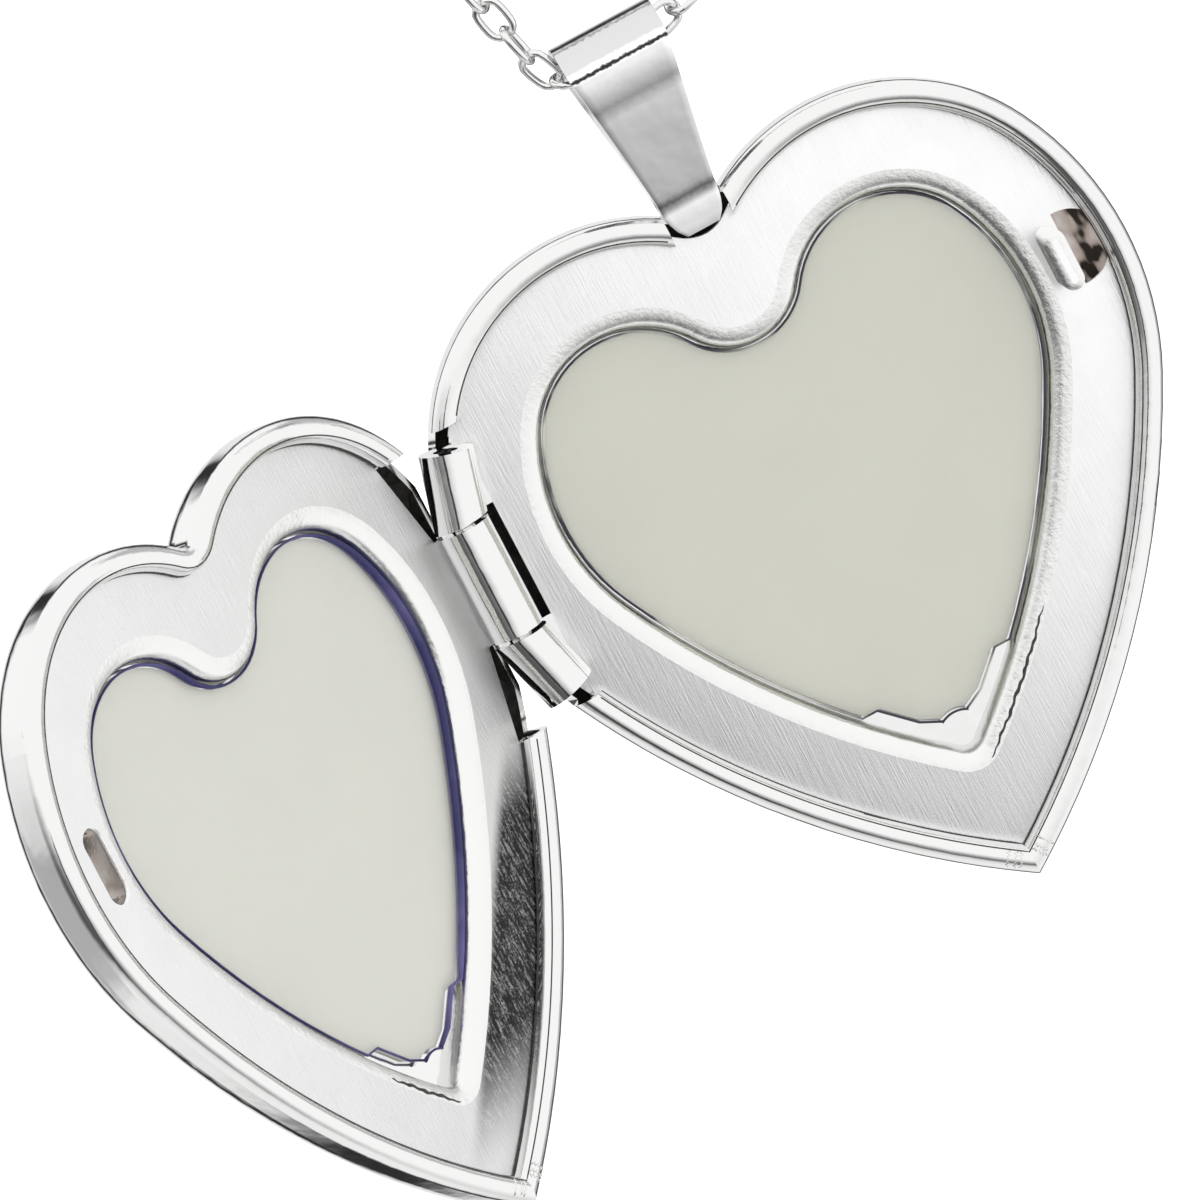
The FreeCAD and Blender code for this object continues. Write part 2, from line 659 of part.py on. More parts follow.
def make_bail():
    """Strap folded into an eye for the chain, tapered to a tang that is soldered in the cleft."""
    body = new_body("bail")
    sketch = new_sketch(body, "loop_sketch", "YZ_Plane")
    bail_profile(sketch, 0.0)
    bail_profile(sketch, size("strap"))
    feature = pad(body, sketch, "loop", ("bail_top_half", "bail_top_half"), against=False)
    feature.Midplane = True
    doc.recompute()
    taper = front_sketch(body, "taper_sketch", -FAR / 4)
    crown = size("fold_level") + size("fold_radius") + 1
    low = size("bail_low_half")
    top = size("bail_top_half")
    foot = size("tang_foot")
    for sign in (1, -1):
        add_polygon(taper, [(sign * low, size("bail_base")), (sign * top, crown - 1),
                            (sign * (top + 2), crown), (sign * (top + 2), foot - 1),
                            (sign * low * 0.35, foot - 1), (sign * low * 0.75, foot + 0.35),
                            (sign * low, foot + 0.95)])
    pocket(body, taper, "taper", FAR / 2)
    soften(body)
    return body


def soften(body):
    """Rounds the soft bends of the strap, where its faces meet along X."""
    levels = [size("bail_bend"), size("fold_level") - size("rear_drop"), size("bail_base")]

    def is_bend(edge):
        bounds = edge.BoundBox
        across = bounds.ZLength < 1e-4 and bounds.YLength < 1e-4
        return across and any(abs(bounds.ZMin - level) < 1e-3 for level in levels)

    fillet(body, "bends", "bend_round", is_bend)


# ---------------------------------------------------------------- chain and clasp
# The chain's centre line as (x, z), from the left ring of the clasp, through the bail, to the right.
CHAIN_ROUTE = [
    (4.73, 30.78), (2.72, 31.3), (-0.3, 30.2), (-2.9, 27.4), (-4.15, 23.3), (-4.05, 19.6),
    (-3.3, 16.3), (-2.89, 14.46), (-2.2, 12.07), (0.26, 12.1), (1.9, 12.5), (2.8, 12.8),
    (4.5, 13.4), (7.1, 13.9), (10.6, 15.5), (13.5, 18.4), (14.7, 22.2), (13.9, 25.4),
    (12.25, 26.85),
]


def clasp_point(across, up=0.0):
    """Point of the clasp, given as distances along and square to its line of pull."""
    tilt = radians(size("hang_angle"))
    height = size("clasp_height") + up
    x = across * cos(tilt) + height * sin(tilt)
    z = size("chain_level") - across * sin(tilt) + height * cos(tilt)
    return V(x, size("fold_centre"), z)


ARC_FIT = 0.02
BORE_SPARE = 5.0
RING_AIR = 0.03


def make_chain():
    """Plain tube that stands for the cable chain."""
    points = [V(x, size("fold_centre"), z) for x, z in CHAIN_ROUTE]
    points[0] = clasp_point(-chain_reach())
    points[-1] = clasp_point(chain_reach())
    spline = Part.BSplineCurve()
    spline.buildFromPoles(points, False, 2)
    path = Part.Wire([piece.toShape() for piece in spline.toBiArcs(ARC_FIT)])
    start = points[1] - points[0]
    circle = Part.Wire(Part.makeCircle(size("chain_diameter") / 2, points[0], start))
    feature = doc.addObject("Part::Feature", "chain")
    feature.Label = "chain"
    feature.Shape = path.makePipeShell([circle], True, False)
    print("chain length", round(path.Length, 2))
    return feature


def ring_distance():
    """Distance from the clasp's centre to the centre of a ring that hangs taut in it."""
    return total(("clasp_radius", "jump_radius", "-clasp_tube", "-jump_wire", "-ring_air"))


def chain_reach():
    return ring_distance() + total(("jump_radius", "jump_wire")) + RING_AIR


def torus(label, major, minor, sweep=None, placement=None):
    feature = doc.addObject("Part::Torus", label)
    feature.Label = label
    feature.setExpression("Radius1", formula(major))
    feature.setExpression("Radius2", formula(minor))
    if sweep:
        feature.setExpression("Angle3", formula(sweep))
    feature.Placement = placement or App.Placement()
    return feature


def make_rings():
    rings = []
    for label, sign in (("ring_left", -1), ("ring_right", 1)):
        turn = App.Rotation(Y_AXIS, size("hang_angle"))
        place = App.Placement(clasp_point(sign * ring_distance()), turn)
        rings.append(torus(label, ("jump_radius",), ("jump_wire",), placement=place))
    return rings


def clasp_placement(start):
    """Clasp frame: its axis along Y, its sweep starting at an angle from the clasp's own zero."""
    lean = size("hang_angle") - 210.0
    turn = App.Rotation(X_AXIS, -90) * App.Rotation(Z_AXIS, lean + start)
    return App.Placement(clasp_point(0), turn)


def make_clasp():
    """Spring ring: a hollow ring with a mouth, and the trigger wire that slides in it."""
    slot_start = size("trigger_start") - size("trigger_travel") - size("groove_lead")
    outer = torus("clasp_outer", ("clasp_radius",), ("clasp_tube",), ("clasp_sweep",),
                  clasp_placement(0))
    bore = torus("clasp_inner", ("clasp_radius",), ("clasp_bore",), None,
                 clasp_placement(size("clasp_sweep") - size("bore_sweep")))
    bore.Angle3 = size("bore_sweep") + BORE_SPARE
    slot = doc.addObject("Part::Cylinder", "clasp_slot")
    slot.Radius = size("clasp_radius") + 1
    slot.Height = size("groove_width")
    slot.Angle = size("trigger_travel") + size("groove_spare")
    slot.Placement = clasp_placement(slot_start)
    slot.Placement.Base -= Y_AXIS * size("groove_width") / 2
    core = doc.addObject("Part::Cylinder", "clasp_core")
    core.Radius = size("clasp_radius")
    core.Height = 2.0
    core.Placement = clasp_placement(0)
    core.Placement.Base -= Y_AXIS
    groove = doc.addObject("Part::Cut", "clasp_groove")
    groove.Base = slot
    groove.Tool = core
    voids = doc.addObject("Part::MultiFuse", "clasp_voids")
    voids.Shapes = [bore, groove]
    body = doc.addObject("Part::Cut", "clasp_body")
    body.Base = outer
    body.Tool = voids
    body.Label = "clasp_body"
    wire = torus("trigger_bow", ("clasp_radius",), ("trigger_wire",), ("trigger_sweep",),
                 clasp_placement(size("trigger_start")))
    knob = doc.addObject("Part::Cylinder", "trigger_knob")
    knob.Radius = size("knob_radius")
    knob.Height = size("knob_length")
    place = clasp_placement(size("trigger_start") + size("knob_turn"))
    knob.Placement = place * App.Placement(V(size("clasp_radius"), 0, 0), App.Rotation(Y_AXIS, 90))
    trigger = doc.addObject("Part::MultiFuse", "clasp_trigger")
    trigger.Shapes = [wire, knob]
    trigger.Label = "clasp_trigger"
    doc.recompute()
    return [body, trigger]


# ---------------------------------------------------------------- build and export
def check(parts):
    for item in doc.Objects:
        if "Invalid" in item.State or "Error" in item.State:
            raise ValueError(f"{item.Name} is {item.State}")
    for part in parts:
        if not part.Shape.isValid() or not part.Shape.Solids:
            raise ValueError(f"{part.Label} has no valid solid")


parts = [
    make_shell("back_shell", False), make_back_frame(),
    make_shell("front_shell", True), make_front_frame(),
    *make_inserts(),
    make_pin(), make_bail(), make_chain(), *make_rings(), *make_clasp(),
]
doc.recompute()
for part in parts:
    part.Placement = HOME * part.Placement
doc.recompute()
check(parts)
os.makedirs("parts", exist_ok=True)
for part in parts:
    part.Shape.exportStep(f"parts/{part.Label}.step")
    print(part.Label, len(part.Shape.Solids), round(part.Shape.Volume, 3))
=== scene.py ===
"""Heart locket on a cable chain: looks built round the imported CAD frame, in metres."""
from math import atan2, cos, pi, radians, sin, sqrt

import bpy
from mathutils import Matrix, Vector


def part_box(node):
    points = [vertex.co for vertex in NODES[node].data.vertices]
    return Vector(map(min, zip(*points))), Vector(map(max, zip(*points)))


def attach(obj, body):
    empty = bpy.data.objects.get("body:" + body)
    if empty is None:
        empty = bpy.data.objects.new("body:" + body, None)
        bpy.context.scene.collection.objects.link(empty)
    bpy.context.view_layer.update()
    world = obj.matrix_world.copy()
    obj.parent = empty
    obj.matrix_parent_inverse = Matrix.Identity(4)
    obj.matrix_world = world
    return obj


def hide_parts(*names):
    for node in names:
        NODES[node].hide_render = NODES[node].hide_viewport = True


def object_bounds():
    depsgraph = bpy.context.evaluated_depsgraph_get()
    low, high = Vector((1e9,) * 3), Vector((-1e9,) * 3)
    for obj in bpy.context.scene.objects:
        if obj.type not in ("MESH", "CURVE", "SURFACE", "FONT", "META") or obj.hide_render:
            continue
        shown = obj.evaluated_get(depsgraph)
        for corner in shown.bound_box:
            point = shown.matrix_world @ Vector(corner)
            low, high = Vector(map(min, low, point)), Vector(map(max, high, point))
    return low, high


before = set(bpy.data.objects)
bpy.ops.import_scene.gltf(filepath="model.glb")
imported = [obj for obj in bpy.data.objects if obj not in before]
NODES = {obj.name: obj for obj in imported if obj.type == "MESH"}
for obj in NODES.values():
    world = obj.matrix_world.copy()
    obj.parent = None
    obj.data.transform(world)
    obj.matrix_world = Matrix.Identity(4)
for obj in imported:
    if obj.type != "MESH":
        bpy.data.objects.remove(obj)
CAD_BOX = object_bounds()
MM = 0.001
SCENE = bpy.context.scene


# ---------------------------------------------------------------- locket
# The hearts are drawn in mm round HEART_CENTRE, with the open face toward -Y. The cover's leaf is
# the mirror of the back's, turned about the hinge; sizes without MM are in mm.
HEART_CENTRE = Vector((0.0, -0.35, -12.6)) * MM
HINGE_X, HINGE_Z, OPEN_ANGLE = -12.2, -1.77, radians(137.8)
HINGE_ROW = Vector((HINGE_X, -0.35, -14.37)) * MM
BACK_OUT = Vector((0.0, -1.0, 0.0))
COVER_OUT = Vector((sin(OPEN_ANGLE), cos(OPEN_ANGLE), 0.0))
TO_HINGE = Vector((-cos(OPEN_ANGLE), sin(OPEN_ANGLE), 0.0))
FRAME_LEVEL, RIM_WIDTH, BEAD_RADIUS, BEAD_FRONT, CLEFT_ROUND = 0.69, 0.95, 0.48, 0.03, 1.7
BEAD_LEVEL, BEAD_OFFSET = BEAD_FRONT + BEAD_RADIUS, RIM_WIDTH - BEAD_RADIUS


# ---------------------------------------------------------------- camera
# It looks at the heart plane from a little to the left and above, rolled, through a long lens.
AZIMUTH, ELEVATION, ROLL = radians(-4.66), radians(10.72), radians(27.64)
VIEW_WIDTH, DISTANCE, SENSOR = 41.37931 * MM, 1.0, 36.0
AIM_RIGHT, AIM_UP = -6.096552 * MM, -8.058621 * MM

LEVEL = Vector((cos(AZIMUTH), sin(AZIMUTH), 0.0))
BACK = Vector((sin(AZIMUTH) * cos(ELEVATION), -cos(AZIMUTH) * cos(ELEVATION), sin(ELEVATION)))
RIGHT = cos(ROLL) * LEVEL - sin(ROLL) * BACK.cross(LEVEL)
UP = sin(ROLL) * LEVEL + cos(ROLL) * BACK.cross(LEVEL)


def make_camera():
    aim = HEART_CENTRE + AIM_RIGHT * RIGHT + AIM_UP * UP
    turn = Matrix((RIGHT, UP, BACK)).transposed().to_4x4()
    data = bpy.data.cameras.new("camera")
    data.sensor_width = SENSOR
    data.lens = SENSOR * DISTANCE / VIEW_WIDTH
    data.clip_start, data.clip_end = 0.01, 10.0
    camera = bpy.data.objects.new("camera", data)
    camera.matrix_world = Matrix.Translation(aim + BACK * DISTANCE) @ turn
    SCENE.collection.objects.link(camera)
    SCENE.camera = camera


make_camera()


# ---------------------------------------------------------------- mesh helpers
def add_object(name, data):
    piece = bpy.data.objects.new(name, data)
    SCENE.collection.objects.link(piece)
    return piece


def mesh_object(name, verts, faces, smooth=True):
    mesh = bpy.data.meshes.new(name)
    mesh.from_pydata([tuple(v) for v in verts], [], faces)
    mesh.validate()
    mesh.update()
    for polygon in mesh.polygons:
        polygon.use_smooth = smooth
    return add_object(name, mesh)


def ring_faces(rows, columns, first=0, closed=True):
    """Quads between rows of points that each go round a loop.

    With closed, the last row is joined to the first.
    """
    faces = []
    for i in range(rows if closed else rows - 1):
        a, b = first + i * columns, first + (i + 1) % rows * columns
        for k in range(columns):
            m = (k + 1) % columns
            faces.append((a + k, a + m, b + m, b + k))
    return faces


def capped_tubes(name, tubes):
    """One mesh of tubes, each a list of rings of points, closed at both ends."""
    verts, faces = [], []
    for rings in tubes:
        first, around = len(verts), len(rings[0])
        last = first + (len(rings) - 1) * around
        verts += [point for ring in rings for point in ring]
        faces += ring_faces(len(rings), around, first, closed=False)
        faces += [tuple(first + k for k in reversed(range(around))),
                  tuple(last + k for k in range(around))]
    return mesh_object(name, verts, faces)


def turns(count):
    """Evenly spaced angles once round."""
    return [2 * pi * k / count for k in range(count)]


def finish_piece(piece, material, body):
    piece.data.materials.append(material)
    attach(piece, body)


# ---------------------------------------------------------------- chain
# Centre line from the left end ring, through the bail, to the right end ring: (x, z) in mm.
CHAIN_ROUTE = [
    (4.721, 18.18), (2.72, 18.7), (-0.3, 17.6), (-2.9, 14.8), (-4.15, 10.7), (-4.05, 7.0),
    (-3.3, 3.7), (-2.89, 1.86), (-2.2, -0.53), (0.26, -0.5), (1.9, -0.1), (2.8, 0.2), (4.5, 0.8),
    (7.1, 1.3), (10.6, 2.9), (13.5, 5.8), (14.7, 9.6), (13.9, 12.8), (12.236, 14.253),
]
LINK_LENGTH, LINK_WIDTH, LINK_WIRE = 1.76 * MM, 1.26 * MM, 0.28 * MM
LINK_STEPS, WIRE_STEPS, ROUTE_STEPS = 28, 12, 24
EVEN_ROLL, ODD_ROLL, ROLL_SWAY = radians(-66), radians(24), radians(9)


def route_points():
    """The centre line as a line of close points: a quadratic NURBS through the route."""
    curve = bpy.data.curves.new("chain_route", "CURVE")
    curve.dimensions = "3D"
    curve.resolution_u = ROUTE_STEPS
    spline = curve.splines.new("NURBS")
    spline.points.add(len(CHAIN_ROUTE) - 1)
    for point, (x, z) in zip(spline.points, CHAIN_ROUTE):
        point.co = (x * MM, 0.0, z * MM, 1.0)
    spline.order_u = 3
    spline.use_endpoint_u = True
    holder = add_object("chain_route", curve)
    mesh = bpy.data.meshes.new_from_object(holder)
    points = [v.co.copy() for v in mesh.vertices]
    bpy.data.objects.remove(holder)
    bpy.data.meshes.remove(mesh)
    return points


def walk(points, distance):
    """Point and direction at a distance along a line of points."""
    for a, b in zip(points, points[1:]):
        step = (b - a).length
        if distance <= step:
            return a.lerp(b, distance / step), (b - a).normalized()
        distance -= step
    return points[-1].copy(), (points[-1] - points[-2]).normalized()


def link_points(along, side, centre):
    """One oval link: a round wire bent to a stadium with slightly waisted sides."""
    straight = (LINK_LENGTH - LINK_WIDTH) / 2
    radius = (LINK_WIDTH - LINK_WIRE) / 2
    normal = along.cross(side)
    points = []
    for angle in turns(LINK_STEPS):
        shift = straight if cos(angle) > 0 else -straight
        blend = min(1.0, abs(cos(angle)) * 3)
        out = along * cos(angle) + side * sin(angle)
        wire = centre + along * (radius * cos(angle) + shift * blend) + side * radius * sin(angle)
        for turn in turns(WIRE_STEPS):
            points.append(wire + (out * cos(turn) + normal * sin(turn)) * LINK_WIRE / 2)
    return points


def make_chain():
    """Links along the route, each turned a right angle to the next but for a little sway."""
    points = route_points()
    length = sum((b - a).length for a, b in zip(points, points[1:]))
    count = round((length - LINK_WIRE) / (LINK_LENGTH - 2 * LINK_WIRE))
    pitch = length / count
    verts, faces = [], []
    for i in range(count):
        centre, along = walk(points, (i + 0.5) * pitch)
        across = along.cross(Vector((0.0, 1.0, 0.0))).normalized()
        roll = (ODD_ROLL if i % 2 else EVEN_ROLL) + ROLL_SWAY * sin(i * 2.4)
        side = Matrix.Rotation(roll, 3, along) @ across
        faces += ring_faces(LINK_STEPS, WIRE_STEPS, len(verts))
        verts += link_points(along, side, centre)
    return mesh_object("cable_chain", verts, faces), points, length


chain, chain_points, chain_length = make_chain()
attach(chain, "back_half")
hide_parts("chain")


# ---------------------------------------------------------------- node helpers
class Field:
    """A node socket that can be added to, multiplied and eased, by numbers or other fields."""

    def __init__(self, tree, socket):
        self.tree, self.socket = tree, socket

    def plug(self, value, socket):
        if isinstance(value, Field):
            self.tree.links.new(value.socket, socket)
        else:
            socket.default_value = value

    def math(self, operation, other=0.0):
        node = self.tree.nodes.new("ShaderNodeMath")
        node.operation = operation
        self.plug(self, node.inputs[0])
        self.plug(other, node.inputs[1])
        return Field(self.tree, node.outputs[0])

    def vector(self, operation, other=(0.0, 0.0, 0.0), output="Vector"):
        node = self.tree.nodes.new("ShaderNodeVectorMath")
        node.operation = operation
        self.plug(self, node.inputs[0])
        self.plug(other, node.inputs["Scale" if operation == "SCALE" else 1])
        return Field(self.tree, node.outputs[output])

    def __add__(self, other):
        return self.math("ADD", other)

    def __mul__(self, other):
        return self.math("MULTIPLY", other)

    def along(self, axis):
        return self.vector("DOT_PRODUCT", tuple(axis), "Value")

    def ease(self, start, end, low=0.0, high=1.0):
        """Goes smoothly from low to high as the value goes from start to end."""
        node = self.tree.nodes.new("ShaderNodeMapRange")
        node.interpolation_type = "SMOOTHSTEP"
        self.plug(self, node.inputs["Value"])
        if start > end:
            start, end, low, high = end, start, high, low
        for name, value in zip(("From Min", "From Max", "To Min", "To Max"),
                               (start, end, low, high)):
            node.inputs[name].default_value = value
        return Field(self.tree, node.outputs["Result"])

    def toward_world(self):
        """The same vector turned from the object's axes to the world's."""
        node = self.tree.nodes.new("ShaderNodeVectorTransform")
        node.vector_type, node.convert_from, node.convert_to = "VECTOR", "OBJECT", "WORLD"
        self.plug(self, node.inputs["Vector"])
        return Field(self.tree, node.outputs["Vector"])


# ---------------------------------------------------------------- materials
Z_AXIS = (0.0, 0.0, 1.0)
BAIL_FOOT, BAIL_SPAN = -7.6, 9.0
SHOULDER_DEPTH = 0.32 * MM
# Bounds of the painted dark reflection on the cover's land beside the hinge.
DARK_REFLECTION_LOW, DARK_REFLECTION_HIGH, DARK_REFLECTION_REACH = -29.2 * MM, -20.3 * MM, 8.1 * MM


class Paint:
    """Adds nodes to one material and links them; noise scales are per metre."""

    def __init__(self, name):
        self.material = bpy.data.materials.new(name)
        self.material.use_nodes = True
        self.tree = self.material.node_tree
        self.shader = self.tree.nodes["Principled BSDF"]
        self.place = self.add("ShaderNodeTexCoord").outputs["Object"]

    def add(self, kind, **settings):
        node = self.tree.nodes.new(kind)
        for name, value in settings.items():
            if hasattr(node, name):
                setattr(node, name, value)
            else:
                self.put(node, name, value)
        return node

    def put(self, node, name, value):
        socket = node.inputs[name.replace("_", " ")]
        if isinstance(value, bpy.types.NodeSocket):
            self.tree.links.new(value, socket)
        else:
            socket.default_value = value

    def set(self, **values):
        for name, value in values.items():
            self.put(self.shader, name, value)

    def field(self, socket=None):
        return Field(self.tree, socket or self.place)

    def stretched(self, height):
        """The place with its heights shrunk, which draws noise out along the heart."""
        node = self.add("ShaderNodeMapping", Vector=self.place)
        node.inputs["Scale"].default_value = (1.0, 1.0, height)
        return node.outputs["Vector"]

    def noise(self, place, scale, detail=3.0, roughness=0.5):
        node = self.add("ShaderNodeTexNoise", Scale=scale, Detail=detail, Roughness=roughness)
        self.tree.links.new(place, node.inputs["Vector"])
        return node.outputs["Fac"]

    def ramp(self, value, stops):
        """Colour ramp of (position, grey or colour) stops."""
        node = self.add("ShaderNodeValToRGB")
        self.tree.links.new(value, node.inputs["Fac"])
        ramp = node.color_ramp
        while len(ramp.elements) < len(stops):
            ramp.elements.new(0.5)
        for element, (at, colour) in zip(ramp.elements, stops):
            element.position = at
            colour = colour if isinstance(colour, tuple) else (colour,) * 3
            element.color = (*colour, 1.0)
        return node.outputs["Color"]

    def span(self, value, low, high):
        node = self.add("ShaderNodeMapRange")
        self.tree.links.new(value, node.inputs["Value"])
        node.inputs["To Min"].default_value = low
        node.inputs["To Max"].default_value = high
        return node.outputs["Result"]

    def bump(self, height, distance, strength=1.0, under=None):
        node = self.add("ShaderNodeBump")
        node.inputs["Distance"].default_value = distance
        node.inputs["Strength"].default_value = strength
        self.tree.links.new(height, node.inputs["Height"])
        if under is not None:
            self.tree.links.new(under, node.inputs["Normal"])
        return node.outputs["Normal"]


def middle(node):
    low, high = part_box(node)
    return (low + high) / 2


def land_height(out):
    """How far out, along a leaf's facing direction, its frame's land lies."""
    return HINGE_ROW.dot(out) - FRAME_LEVEL * MM


def bowed(paint, centre, bend):
    """The surface's normal leaning away from a centre, by bend per metre, as on a bowed sheet."""
    lean = paint.field().vector("SUBTRACT", tuple(centre)).vector("SCALE", bend).toward_world()
    face = paint.field(paint.add("ShaderNodeNewGeometry").outputs["Normal"])
    return face.vector("ADD", lean).vector("NORMALIZE").socket


def bright_silver():
    """Bright plated silver with a hint of waviness and hairline polishing marks."""
    paint = Paint("polished_silver")
    wave = paint.noise(paint.place, 700.0, 2.0)
    marks = paint.noise(paint.stretched(0.12), 9000.0, 3.0)
    normal = paint.bump(wave, 0.00005, 0.5)
    normal = paint.bump(marks, 0.000004, 0.35, normal)
    cloud = paint.noise(paint.place, 900.0, 4.0)
    paint.set(Base_Color=(0.79, 0.79, 0.78447, 1.0), Metallic=1.0,
              Roughness=paint.span(cloud, 0.05, 0.13), Normal=normal)
    return paint.material


def bail_silver_painted_light():
    """The strap's polished silver, with painted reflections: painted shade in its creases and
    bends.

    The ramp runs up the strap from BAIL_FOOT over BAIL_SPAN: its foot's painted dark streak near
    0.20, the soft bend's painted shade near 0.655, the painted black crease between painted white
    highlights near 0.80 and the painted dark edge of the fold near 0.93.
    """
    paint = Paint("bail_silver_painted_light")
    wave = paint.noise(paint.place, 700.0, 2.0)
    jag = paint.field(paint.noise(paint.place, 6000.0, 3.0)) + -0.5
    height = paint.field().along(Z_AXIS) * (1 / BAIL_SPAN / MM) + -BAIL_FOOT / BAIL_SPAN
    # Painted shade and painted highlights up the strap, set by height.
    colour = paint.ramp((height + jag * 0.02).socket, [
        (0.10, 0.70), (0.15, 0.90), (0.175, 0.80), (0.20, 0.25), (0.225, 0.72), (0.25, 0.84),
        (0.60, 0.84), (0.655, 0.42), (0.69, 0.62), (0.77, 1.0), (0.798, 1.0), (0.801, 0.03),
        (0.812, 0.03), (0.815, 1.0), (0.835, 0.96), (0.842, 0.70), (0.922, 0.68), (0.926, 0.35),
        (0.930, 0.35), (0.934, 0.66), (1.0, 0.66)])
    paint.set(Base_Color=colour, Metallic=1.0, Roughness=paint.span(wave, 0.10, 0.2),
              Normal=paint.bump(wave, 0.00005, 0.4))
    return paint.material


def puckered_silver(name, out):
    """The drawn shoulder and wall of each window: puckered by the press, rounded into the land."""
    paint = Paint(name)
    pucker = paint.noise(paint.place, 5200.0, 4.0, 0.65)
    wave = paint.noise(paint.place, 900.0, 2.0)
    land = land_height(out)
    near_land = paint.field().along(out).ease(land - SHOULDER_DEPTH, land, 0.0, 1.6)
    turn = paint.add("ShaderNodeVectorTransform", vector_type="VECTOR", convert_from="OBJECT",
                     convert_to="WORLD")
    turn.inputs["Vector"].default_value = tuple(out)
    push = paint.field(turn.outputs["Vector"]).vector("SCALE", near_land)
    face = paint.field(paint.add("ShaderNodeNewGeometry").outputs["Normal"])
    rounded = face.vector("ADD", push).vector("NORMALIZE")
    normal = paint.bump(pucker, 0.00003, 0.6, rounded.socket)
    normal = paint.bump(wave, 0.00004, 0.5, normal)
    paint.set(Base_Color=(0.82, 0.82, 0.81, 1.0), Metallic=1.0,
              Roughness=paint.span(pucker, 0.12, 0.28), Normal=normal)
    return paint.material


def raw_metal_painted_light():
    """Unpolished warm shell insides, seen only through catch and slot, with painted glow and
    reflections.
    """
    paint = Paint("raw_metal_painted_light")
    grain = paint.noise(paint.place, 5000.0, 4.0)
    blotch = paint.noise(paint.stretched(0.5), 1300.0, 2.0)
    # Painted light: the ramp's dark and bright blotches stand in for reflections, and the emission
    # below is a painted glow.
    colour = paint.ramp(blotch, [(0.36, (0.03, 0.025, 0.02)), (0.42, (0.55, 0.47, 0.42)),
                                 (0.52, (0.80, 0.72, 0.68)), (0.60, (0.95, 0.93, 0.91))])
    paint.set(Base_Color=colour, Metallic=0.4, Roughness=paint.span(grain, 0.3, 0.5),
              Emission_Color=colour, Emission_Strength=0.22,
              Normal=paint.bump(grain, 0.00002, 0.5))
    return paint.material


def patchy_tones(name, dark, light, scale=4000.0, spread=(0.35, 0.75)):
    """Two patchy tones, for painted shade in seams, hollows and creases and for the line along a
    lens's cut edge.
    """
    paint = Paint(name)
    grain = paint.noise(paint.place, scale, 3.0)
    paint.set(Base_Color=paint.ramp(grain, [(spread[0], dark), (spread[1], light)]), Roughness=0.5)
    return paint.material


def satin_silver(name, centre, bend, shade, with_painted_reflection=False):
    """Brushed inner plate: fine streaks along the heart, a faint speckle, maybe a painted dark
    reflection.
    """
    paint = Paint(name)
    streaks = paint.noise(paint.stretched(0.05), 16000.0, 4.0, 0.65)
    grain = paint.noise(paint.place, 14000.0, 3.0, 0.6)
    normal = paint.bump(streaks, 0.00002, 0.6, bowed(paint, centre, bend))
    normal = paint.bump(grain, 0.00001, 0.4, normal)
    cloud = paint.noise(paint.place, 500.0, 4.0)
    colour = paint.ramp(cloud, [(0.3, shade * 0.97), (0.7, shade * 1.01)])
    # The painted dark reflection darkens the plate's colour where it lies.
    if with_painted_reflection:
        colour = painted_dark_reflection(paint, colour)
    paint.set(Base_Color=colour, Metallic=1.0, Roughness=paint.span(streaks, 0.24, 0.42),
              Normal=normal)
    return paint.material


def painted_dark_reflection(paint, colour):
    """Painted dark reflection on the cover's lower land beside the hinge, broken up by fine
    scratches.

    The patch is bounded by two heights and by a line that slopes with the heart's skirt.
    """
    reach, height = paint.field().along(TO_HINGE), paint.field().along(Z_AXIS)
    scratch = paint.field(paint.noise(paint.stretched(0.16), 9000.0, 4.0, 0.7))
    speck = paint.field(paint.noise(paint.place, 12000.0, 3.0, 0.7))
    slope = reach + height * -1.0 + ((DARK_REFLECTION_LOW + DARK_REFLECTION_HIGH) / 2 - 0.3 * MM)
    edge = TO_HINGE.dot(HINGE_ROW) - DARK_REFLECTION_REACH
    inside = (slope.ease(edge - 0.5 * MM, edge + 0.4 * MM)
              * height.ease(DARK_REFLECTION_LOW - 2 * MM, DARK_REFLECTION_LOW + 2 * MM)
              * height.ease(DARK_REFLECTION_HIGH + 1.5 * MM, DARK_REFLECTION_HIGH - 1.5 * MM))
    broken = (scratch * 0.6 + speck * 0.4).ease(0.47, 0.66, 0.03, 0.55)
    share = inside * (broken + -1.0) + 1.0
    return paint.field(colour).vector("SCALE", share).socket


def card_paper(name, colour):
    """Ivory-grey card behind the lens, with a fine fibre and a faint mottle."""
    paint = Paint(name)
    fibre = paint.noise(paint.place, 9000.0, 5.0, 0.7)
    cloud = paint.noise(paint.place, 300.0, 3.0)
    mottle = paint.field(cloud) * 0.25 + paint.field(fibre) * 0.75
    darker, lighter = (tuple(c * share for c in colour) for share in (0.93, 1.06))
    colour = paint.ramp(mottle.socket, [(0.35, darker), (0.65, lighter)])
    paint.set(Base_Color=colour, Roughness=0.6, Normal=paint.bump(fibre, 0.00002, 0.4))
    return paint.material


def lens_plastic():
    """Clear cover sheet with faint handling scratches."""
    paint = Paint("lens")
    scratches = paint.noise(paint.stretched(0.06), 5000.0, 3.0)
    paint.set(Base_Color=(0.97, 0.97, 1.0, 1.0), Roughness=0.06, IOR=1.49, Alpha=0.12,
              Normal=paint.bump(scratches, 0.000004, 0.3))
    return paint.material


SILVER, LENS = bright_silver(), lens_plastic()
BAIL_SILVER_PAINTED_LIGHT = bail_silver_painted_light()
BACK_CARD = card_paper("back_card_paper", (0.42, 0.42, 0.325))
FRONT_CARD = card_paper("front_card_paper", (0.475, 0.475, 0.402))
RAW_PAINTED_LIGHT = raw_metal_painted_light()
